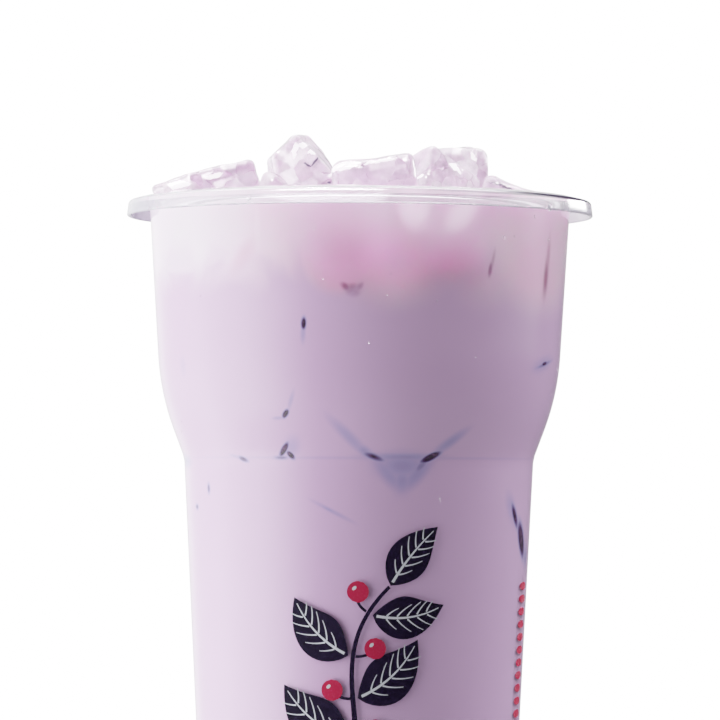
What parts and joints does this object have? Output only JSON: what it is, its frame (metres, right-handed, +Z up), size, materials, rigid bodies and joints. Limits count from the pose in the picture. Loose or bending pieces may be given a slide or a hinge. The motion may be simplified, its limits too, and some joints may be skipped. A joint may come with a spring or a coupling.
{
  "type": "taro bubble tea",
  "caption": "Iced taro milk tea in a clear plastic cup with a stepped wall and a wide flanged rim, filled to the rim, with blocks of ice standing out of it.",
  "frame": {"origin": "middle of the foot, on the surface that the cup stands on", "axes": "+Z up along the cup's axis, -Y towards the viewer, through the printed front, +X to the viewer's right"},
  "size_m": [0.095, 0.095, 0.1502],
  "materials": {
    "clear_plastic": "clear, smooth, glossy moulded plastic",
    "milk_tea": "opaque lilac milk tea, glossy on top",
    "ice": "wet, partly melted ice with a pink lilac cast",
    "dark_ink": "screen printed near black ink",
    "pale_ink": "screen printed pale grey ink",
    "red_ink": "screen printed crimson ink"
  },
  "bodies": {
    "root": {"cup": "clear_plastic", "drink": "milk_tea", "ice_left_slab": "ice", "ice_chip": "ice", "ice_tall": "ice", "ice_centre_slab": "ice", "ice_ridge": "ice", "ice_corner": "ice", "ice_rear_block": "ice", "ice_right_slab": "ice", "ice_back_left": "ice", "ice_middle_left": "ice", "ice_back": "ice", "ice_back_right": "ice", "ice_far_right": "ice", "ice_front_left": "ice", "ice_front": "ice", "ice_front_right": "ice", "ice_side_right": "ice"}
  },
  "joints": []
}
